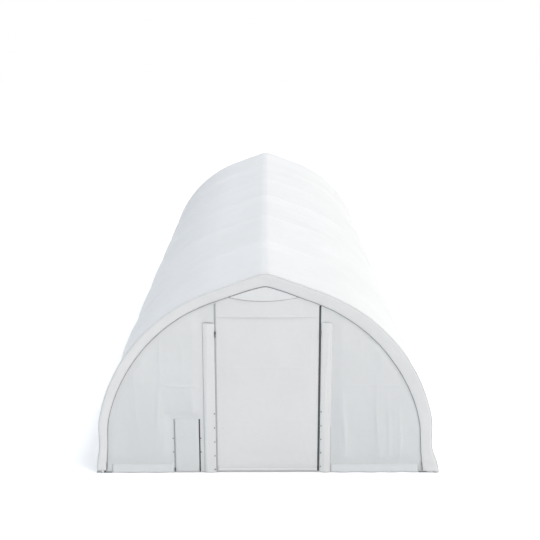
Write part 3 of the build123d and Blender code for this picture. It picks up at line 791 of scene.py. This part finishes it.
# the rear wall, one piece up to its vent
xs = np.linspace(-1.745, 1.745, 190)
rows = 105
rear_top = np.minimum(np.interp(xs, *(lambda s: (s[np.argsort(s[:, 0]), 0], s[np.argsort(s[:, 0]), 2]))(REAR_SEAM)) + 0.010, VENT_Z)
rear_top = np.maximum(rear_top, 0.02)
P = np.zeros((rows, len(xs), 3))
zz = np.linspace(0, 1, rows) ** 1.0
lim_z = np.linspace(0.008, VENT_Z, rows)
for i, z in enumerate(lim_z):
    half = min(abs(float(seam_x(z, REAR_SEAM, 1))), abs(float(seam_x(z, REAR_SEAM, -1)))) + 0.012
    if z > 0.9:
        half = max(half, 0.30)
    P[i, :, 0] = np.linspace(-half, half, len(xs))
    P[i, :, 2] = z
x, z = P[:, :, 0], P[:, :, 2]
half = np.abs(x[:, -1:])
posts = 1 - 0.75 * (bump_at(x, 0.6, 0.05) + bump_at(x, -0.6, 0.05))
P[:, :, 1] = -Y_PANEL + 0.0012 + wall_shift(x, z, 51, 1) * (0.25 + 0.75 * smooth((half - np.abs(x)) / 0.1)) * posts * (1 - smooth((0.62 - np.abs(x)) / 0.12) * smooth((z - 1.72) / 0.12))
rear = grid("rear_wall_skin", P, np.stack([x, z], -1), M_WALL, (0, 1, 0), 0.0012)
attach(rear, ROOT)
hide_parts("rear_panel")


# ------------------------------------------------------------------ vents
def vent(front):
    tag = "front" if front else "rear"
    out = -1.0 if front else 1.0
    seam = FRONT_SEAM if front else REAR_SEAM
    yp = Y_PANEL if front else -Y_PANEL
    xs = np.linspace(-0.62, 0.62, 400)
    above = seam_z(xs, seam) - VENT_Z
    inside = xs[above > 0.004]
    lo, hi = inside[0], inside[-1]
    xs = np.linspace(lo, hi, 80)
    z1 = seam_z(xs, seam)
    hinge_y = HINGES[f"{tag}_vent_fold"]["pos_m"][1]
    # the net behind the flap
    net = column_sheet(f"{tag}_vent_net", xs, np.full_like(xs, VENT_Z + 0.001), z1 + 0.010, 10, yp - out * 0.002, out, M_SCREEN,
                       lambda x, z: 0.0015 * fbm(x * 5, z * 5, 61), [f"{tag}_vent_screen"], 0.0006)
    # one sheet: a lip sewn to the wall below the fold, the flap above it
    t = (xs - (lo + hi) / 2) / ((hi - lo) / 2)
    low = VENT_Z - 0.006 - 0.040 * (1 - t ** 2)
    fold = HINGES[f"{tag}_vent_fold"]["pos_m"][2]
    keep = slice(1, -1)
    xf, zt, zl = xs[keep], z1[keep] - 0.004, low[keep]
    tt = np.r_[np.linspace(0, 1, 7)[:-1], 1 + np.linspace(0, 1, 7)[:-1], 2 + np.linspace(0, 1, 12)]
    P = np.zeros((len(tt), len(xf), 3))
    za, zb_ = np.full_like(xf, fold - 0.0050), np.full_like(xf, fold + 0.0050)
    for i, q in enumerate(tt):
        z = zl + (za - zl) * q if q < 1 else za + (zb_ - za) * (q - 1) if q < 2 else zb_ + (zt - zb_) * (q - 2)
        P[i, :, 0], P[i, :, 2] = xf, z
        lift = 0.0008 + (0.0026 * np.sin(np.clip((z - fold) / 0.13, 0, 1) * math.pi) + 0.0014 * fbm(xf * 6, z * 9, 62)) * smooth((z - fold - 0.004) / 0.03)
        base = np.interp(z, [VENT_Z - 0.05, fold - 0.006, fold], [abs(yp) + 0.0050, abs(yp) + 0.0062, abs(hinge_y)])
        P[i, :, 1] = out * (np.where(z < fold, base, abs(hinge_y)) + np.maximum(lift, 0.0004) * smooth((z - fold + 0.004) / 0.01))
    piece = grid(f"{tag}_vent_flap_skin", P, np.stack([P[:, :, 0], P[:, :, 2]], -1), M_FLAP, (0, out, 0), 0.0011)
    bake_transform(piece)
    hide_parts(f"{tag}_vent_flap")
    edge = np.stack([xf, P[-1, :, 1] + out * 0.0002, zt - 0.003], -1)[3:-3]
    welt = tube_along(f"{tag}_vent_flap_edge", edge, 0.0013, M_FLAP, normal=(0, out, 0))
    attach(welt, f"{tag}_vent_flap")
    # painted shadow: a dark line along the lip's lower arc stands in for the shade under the lip's free edge
    shadow_line = tube_along(f"{tag}_vent_binding", np.stack([xs, np.full_like(xs, yp + out * 0.0036), low - 0.0018], -1), 0.0024, M_SEAM_SHADOW, normal=(0, out, 0))
    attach(shadow_line, ROOT)
    stitches(f"{tag}_vent_stitching", np.stack([xs, np.full_like(xs, yp + out * 0.0058), low + 0.007], -1)[3:-3], (0, out, 0), ROOT)


vent(True)
vent(False)

# ------------------------------------------------------------------ door curtain
DOOR = [HINGES["door_roll" if k == 1 else f"door_roll_{k:02d}"] for k in range(1, 15)]
FOLDS = [j["pos_m"][2] for j in DOOR] + [0.0345]
Y_CURTAIN = DOOR[0]["pos_m"][1]
C_X0, C_X1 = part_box("door_curtain_01")[0][0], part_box("door_curtain_01")[1][0]
bar_lo, bar_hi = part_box("door_bottom_bar")


def curtain_shift(x, z):
    side = smooth((x - C_X0) / 0.10) * smooth((C_X1 - x) / 0.10)
    hang = smooth((1.80 - z) / 0.12) * smooth((z - 0.045) / 0.10)
    d = 0.0050 * (fbm(x * 1.5 + 0.4 * z, z * 0.9, 71) + 0.55)
    d += 0.0060 * bump_at(x, -0.30 + 0.10 * (z - 1.2), 0.13) * bump_at(z, 1.25, 0.35)
    d += 0.0024 * ridged(x * 4.1 + 0.8 * z, z * 0.8, 72) * smooth((1.2 - z) / 0.9)
    d += -0.0035 * bump_at(z, 0.19 + 0.02 * np.sin(7 * x), 0.05) * smooth((x + 0.3) / 0.2)
    d += 0.0005 * fbm(x * 20, z * 20, 73)
    for f in (0.62, 1.24):
        d += 0.0014 * bump_at(z, f, 0.007)
    return 0.0010 + d * side * hang


def curtain_piece(name, z_hi, z_lo, xs):
    rows = max(int((z_hi - z_lo) / (0.009)), 3)
    zs = np.linspace(z_hi, z_lo, rows)
    P = np.zeros((rows, len(xs), 3))
    P[:, :, 0], P[:, :, 2] = xs[None, :], zs[:, None]
    P[:, :, 1] = Y_CURTAIN - curtain_shift(P[:, :, 0], P[:, :, 2])
    return grid(name, P, np.stack([P[:, :, 0], P[:, :, 2]], -1), M_DOOR, (0, -1, 0), 0.0010, rim=False)


cx = np.linspace(C_X0, C_X1, 100)
mids = [(FOLDS[k] + FOLDS[k + 1]) / 2 for k in range(14)]
previous = ROOT
z_from = FOLDS[0] + 0.0025
for k in range(14):
    body = f"curtain_band_{k + 1:02d}"
    o = curtain_piece(f"door_cloth_{k + 1:02d}", z_from, mids[k], cx)
    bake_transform(o)
    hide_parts(f"door_curtain_{k + 1:02d}")
    previous, z_from = body, mids[k]
# the foot of the curtain and the hem pocket round the bar
r = 0.0135
foot = []
for a in np.linspace(0, 2 * math.pi, 25):
    foot.append((bar_lo[2] + 0.011 + r * math.cos(a), Y_CURTAIN - r * math.sin(a)))
zb = float((bar_lo[2] + bar_hi[2]) / 2)
line = [(z, None) for z in np.linspace(mids[13], zb + 0.016, 6)]
P = np.zeros((len(line) + 22, len(cx), 3))
for i, (z, _) in enumerate(line):
    P[i, :, 0], P[i, :, 2] = cx, z
    P[i, :, 1] = Y_CURTAIN - curtain_shift(cx, np.full_like(cx, z)) * (1 - i / (len(line) - 1)) - 0.001
for i, a in enumerate(np.linspace(math.radians(8), math.radians(345), 22)):
    k = len(line) + i
    wob = 0.0008 * fbm(cx * 12, 0 * cx + a, 75)
    P[k, :, 0] = cx
    P[k, :, 1] = Y_CURTAIN - (r + wob) * math.sin(a)
    P[k, :, 2] = zb + (r + wob) * math.cos(a)
V = np.zeros((len(line) + 22, len(cx), 2))
V[:, :, 0] = cx
V[:, :, 1] = -np.arange(len(line) + 22)[:, None] * 0.004
pocket = grid("door_hem_pocket", P, V, M_DOOR, lambda c: np.stack([0 * c[:, 0], c[:, 1] - Y_CURTAIN, c[:, 2] - zb], -1), 0.0010)
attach(pocket, "curtain_band_14")


# ------------------------------------------------------------------ zips
def zip_line(name, x, z0, z1, out, y0, tape, teeth, half=0.008, pitch=0.006, tooth=0.0028, node=None):
    rows = max(int((z1 - z0) / 0.02), 4)
    zs = np.linspace(z0, z1, rows)
    xs = x + np.array([-half, -half * 0.55, -tooth * 0.4, tooth * 0.4, half * 0.55, half])
    P = np.zeros((rows, 6, 3))
    P[:, :, 0], P[:, :, 2] = xs[None], zs[:, None]
    P[:, :, 1] = y0 + out * (np.array([0.0021, 0.0025, 0.0027, 0.0027, 0.0025, 0.0021])[None] + 0.0003 * np.sin(zs * 31)[:, None])
    o = grid(name + "_cloth", P, np.stack([P[:, :, 0], P[:, :, 2]], -1), tape, (0, out, 0), 0.0009)
    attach(o, ROOT)
    verts, faces = [], []
    for i, z in enumerate(np.arange(z0 + 0.004, z1 - 0.004, pitch)):
        s = 1 if i % 2 else -1
        xa, xb = sorted((x - s * tooth * 0.55, x + s * tooth))
        y1, y2, h = y0 + out * 0.0025, y0 + out * 0.0042, pitch * 0.36
        b = len(verts)
        verts += [(xa, y1, z - h), (xb, y1, z - h), (xb, y1, z + h), (xa, y1, z + h),
                  (xa * 0.8 + xb * 0.2, y2, z - h * 0.6), (xa * 0.2 + xb * 0.8, y2, z - h * 0.6), (xa * 0.2 + xb * 0.8, y2, z + h * 0.6), (xa * 0.8 + xb * 0.2, y2, z + h * 0.6)]
        faces += [(b, b + 1, b + 2, b + 3), (b + 4, b + 5, b + 6, b + 7), (b, b + 1, b + 5, b + 4), (b + 1, b + 2, b + 6, b + 5), (b + 2, b + 3, b + 7, b + 6), (b + 3, b, b + 4, b + 7)]
    e = solid(name + "_teeth", verts, faces, teeth, smooth_it=False)
    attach(e, ROOT)
    if node:
        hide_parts(node)
    return o


for side, tape, half in (("left", M_TAPE, 0.0105), ("right", M_TAPE_DARK, 0.0105)):
    lo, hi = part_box(f"door_zip_{side}")
    zip_line(f"door_zip_{side}", (lo[0] + hi[0]) / 2, lo[2], hi[2], -1.0, Y_PANEL, tape, M_TEETH_PALE if side == "left" else M_TEETH, half=half, pitch=0.008, tooth=0.0032, node=f"door_zip_{side}")
u_lo, u_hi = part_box("utility_zip_tapes")
z_left = zip_line("utility_zip_left", u_lo[0] + 0.007, u_lo[2], u_hi[2], -1.0, Y_PANEL, M_TAPE, M_TEETH, half=0.006)
z_right = zip_line("utility_zip_right", u_hi[0] - 0.007, u_lo[2], u_hi[2], -1.0, Y_PANEL, M_TAPE_DARK, M_TEETH, half=0.007)
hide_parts("utility_zip_tapes")

# ------------------------------------------------------------------ sleeves over the door posts
def sleeve(side, seed):
    lo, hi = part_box(f"post_sleeve_{side}")
    n = 30
    t = np.linspace(0, 1, n)
    zs = np.linspace(0.004, hi[2], 160)
    T, ZZ = np.meshgrid(t, zs, indexing="xy")
    bulge = np.sin(math.pi * np.clip(T, 0, 1)) ** 0.45
    depth = 0.0150 * bulge * (0.82 + 0.18 * vnoise(ZZ * 1.7, T, seed))
    depth += 0.0030 * ridged(T * 3.1 + 0.35 * vnoise(ZZ * 1.3, T * 0, seed), ZZ * 0.7, seed + 1) * bulge
    depth += 0.0010 * fbm(T * 5, ZZ * 9, seed + 2) * bulge
    depth *= 0.55 + 0.45 * smooth((hi[2] - ZZ) / 0.03)
    P = np.zeros(T.shape + (3,))
    P[..., 0] = lo[0] + (hi[0] - lo[0]) * T + 0.0010 * fbm(ZZ * 1.1, 0 * T, seed + 3)
    P[..., 1] = Y_PANEL - 0.0022 - np.clip(depth, 0.0005, 0.0165)
    P[..., 2] = ZZ + 0.006 * fbm(T * 3, 0 * T, seed + 4) * smooth((ZZ - hi[2] + 0.05) / 0.05)
    P[..., 2] = np.minimum(P[..., 2], hi[2] + 0.004)
    o = grid(f"post_sleeve_{side}_skin", P, np.stack([P[..., 0], P[..., 2]], -1), M_SLEEVE, (0, -1, 0), 0.0013)
    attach(o, ROOT)
    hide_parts(f"post_sleeve_{side}")
    # painted shadow: a grey line down the outer edge of each sleeve, the full height on the left and the lowest third
    # on the right, stands in for the shade beside the raised sleeve
    col = 0 if side == "left" else -1
    keep = slice(None) if side == "left" else slice(0, int(len(zs) * 0.32))
    edge = P[keep, col] + np.array([0, -0.0012, 0])
    shadow_line = tube_along(f"post_sleeve_{side}_binding", edge, 0.0017, M_TAPE, sides=6)
    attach(shadow_line, ROOT)
    if side == "left":
        top = tube_along("post_sleeve_left_top_binding", P[-1, 2:] + np.array([0, -0.0014, 0]), 0.0018, M_TAPE, sides=6)
        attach(top, ROOT)
    for inset in (4, -5):
        row = P[:, inset] + np.array([0, -0.0008, 0])
        stitches(f"post_sleeve_{side}_stitching_{'a' if inset > 0 else 'b'}", row, (0, -1, 0), ROOT, pitch=0.009)
    return o


sleeve("left", 81)
sleeve("right", 91)
stud_profile = [(0.0066, 0.0), (0.0070, 0.0008), (0.0066, 0.0016), (0.0048, 0.0014), (0.0042, 0.0022), (0.0026, 0.0030), (0.0003, 0.0032)]


def studs(name, node):
    """Press-stud caps, one on each CAD stud."""
    me = NODES[node].data
    co = np.array([v.co for v in me.vertices], float)
    centres = []
    left = np.ones(len(co), bool)
    while left.any():
        p = co[np.argmax(left)]
        near = left & (np.linalg.norm(co[:, [0, 2]] - p[[0, 2]], axis=1) < 0.03)
        c = (co[near].min(0) + co[near].max(0)) / 2
        centres.append((c[0], co[near][:, 1].max(), c[2]))
        left &= ~near
    o = lathe_many(name, centres, stud_profile, M_STUD)
    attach(o, ROOT)
    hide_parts(node)


studs("sleeve_stud_caps", "sleeve_studs")
studs("utility_stud_caps", "utility_studs")

# ------------------------------------------------------------------ utility flap
f_lo, f_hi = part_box("utility_flap")
xs = np.linspace(f_lo[0], f_hi[0], 40)
u_pos = HINGES["utility_flap_lift"]["pos_m"]
u_top, u_a, u_b = u_pos[2] + 0.022, u_pos[2] + 0.0050, u_pos[2] - 0.0050
zs = np.r_[np.linspace(u_top, u_a, 6)[:-1], np.linspace(u_a, u_b, 8)[:-1], np.linspace(u_b, f_lo[2], 58)]
P = np.zeros((len(zs), len(xs), 3))
P[:, :, 0], P[:, :, 2] = xs[None], zs[:, None]
x, z = P[:, :, 0], P[:, :, 2]
side = smooth((x - f_lo[0]) / 0.03) * smooth((f_hi[0] - x) / 0.03) * smooth((u_b - z) / 0.03)
stand = np.interp(z, [u_b, u_a, u_top], [-f_hi[1] + 0.0012, -f_hi[1] + 0.0012, -Y_PANEL + 0.0016])
P[:, :, 1] = -(stand + side * (0.0035 * (0.5 + 0.5 * fbm(x * 5, z * 2.5, 95)) + 0.0020 * bump_at(z, 0.43, 0.008) + 0.0004 * (1 + fbm(x * 20, z * 20, 96))))
flap = grid("utility_flap_skin", P, np.stack([x, z], -1), M_WALL, (0, -1, 0), 0.0012)
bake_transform(flap)
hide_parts("utility_flap")
hem_row = np.stack([xs[2:-2], P[-4, 2:-2, 1] - 0.0006, np.full(len(xs) - 4, f_lo[2] + 0.016)], -1)
stitches("utility_flap_stitching", hem_row, (0, -1, 0), "utility_flap")

# ------------------------------------------------------------------ floor, light, camera
floor_mesh = bpy.data.meshes.new("floor")
floor_mesh.from_pydata([(-60, -60, 0), (60, -60, 0), (60, 60, 0), (-60, 60, 0)], [], [(0, 1, 2, 3)])
floor = link_object("floor", floor_mesh)
fm, ft = new_mat("floor_paint")
k = Net(ft)
fo, fb, fc = k.n("ShaderNodeOutputMaterial"), k.n("ShaderNodeBsdfPrincipled"), k.n("ShaderNodeTexCoord")
k.link(k.mix(k.noise(fc.outputs["Object"], 0.6, 3.0), rgb(0.91, 0.91, 0.91), rgb(0.93, 0.93, 0.93)), fb.inputs["Base Color"])
fb.inputs["Roughness"].default_value = 0.9
fb.inputs["Specular IOR Level"].default_value = 0.1
fb.inputs["Emission Color"].default_value = rgb(1, 1, 1)
fb.inputs["Emission Strength"].default_value = 0.16
k.link(fb.outputs[0], fo.inputs[0])
floor_mesh.materials.append(fm)
floor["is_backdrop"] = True

world = bpy.data.worlds.new("studio")
scene.world = world
world.use_nodes = True
wt = world.node_tree
wt.nodes.clear()
k = Net(wt)
wo, wb, wc = k.n("ShaderNodeOutputWorld"), k.n("ShaderNodeBackground"), k.n("ShaderNodeTexCoord")
sep = k.n("ShaderNodeSeparateXYZ")
k.link(wc.outputs["Generated"], sep.inputs[0])
soft = k.mix(k.ramp(sep.outputs[0], -0.50, 0.40), rgb(0.672, 0.733, 0.805), (1.01, 1.0, 0.985, 1.0))
rise = k.ramp(sep.outputs[2], 0.0, 0.85, 0.80, 1.13)
shade = k.n("ShaderNodeCombineColor")
for i in range(3):
    k.link(rise, shade.inputs[i])
soft = k.mix(1.0, soft, shade.outputs[0], blend="MULTIPLY")
lp = k.n("ShaderNodeLightPath")
k.link(k.mix(lp.outputs["Is Camera Ray"], soft, rgb(1, 1, 1)), wb.inputs["Color"])
wb.inputs["Strength"].default_value = 1.0
k.link(wb.outputs[0], wo.inputs[0])

sun = bpy.data.lights.new("key", "SUN")
sun.energy = 1.28
sun.angle = math.radians(22)
sun_o = bpy.data.objects.new("key", sun)
scene.collection.objects.link(sun_o)
sun_o.rotation_euler = Vector((-0.47, 0.22, -0.855)).to_track_quat("-Z", "Y").to_euler()

cam = bpy.data.cameras.new("camera")
cam.sensor_width = 36.0
cam.lens = 63.32
cam.clip_end = 200
cam_o = bpy.data.objects.new("camera", cam)
scene.collection.objects.link(cam_o)
cam_o.location = (0.0136, -14.1852, 4.9052)
pitch, yaw = 0.2613, 0.0037
aim = Vector((math.sin(yaw) * math.cos(pitch), math.cos(yaw) * math.cos(pitch), -math.sin(pitch)))
cam_o.rotation_euler = aim.to_track_quat("-Z", "Y").to_euler()
scene.camera = cam_o
scene.view_settings.view_transform = "Standard"

bpy.context.view_layer.update()
lo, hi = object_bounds()
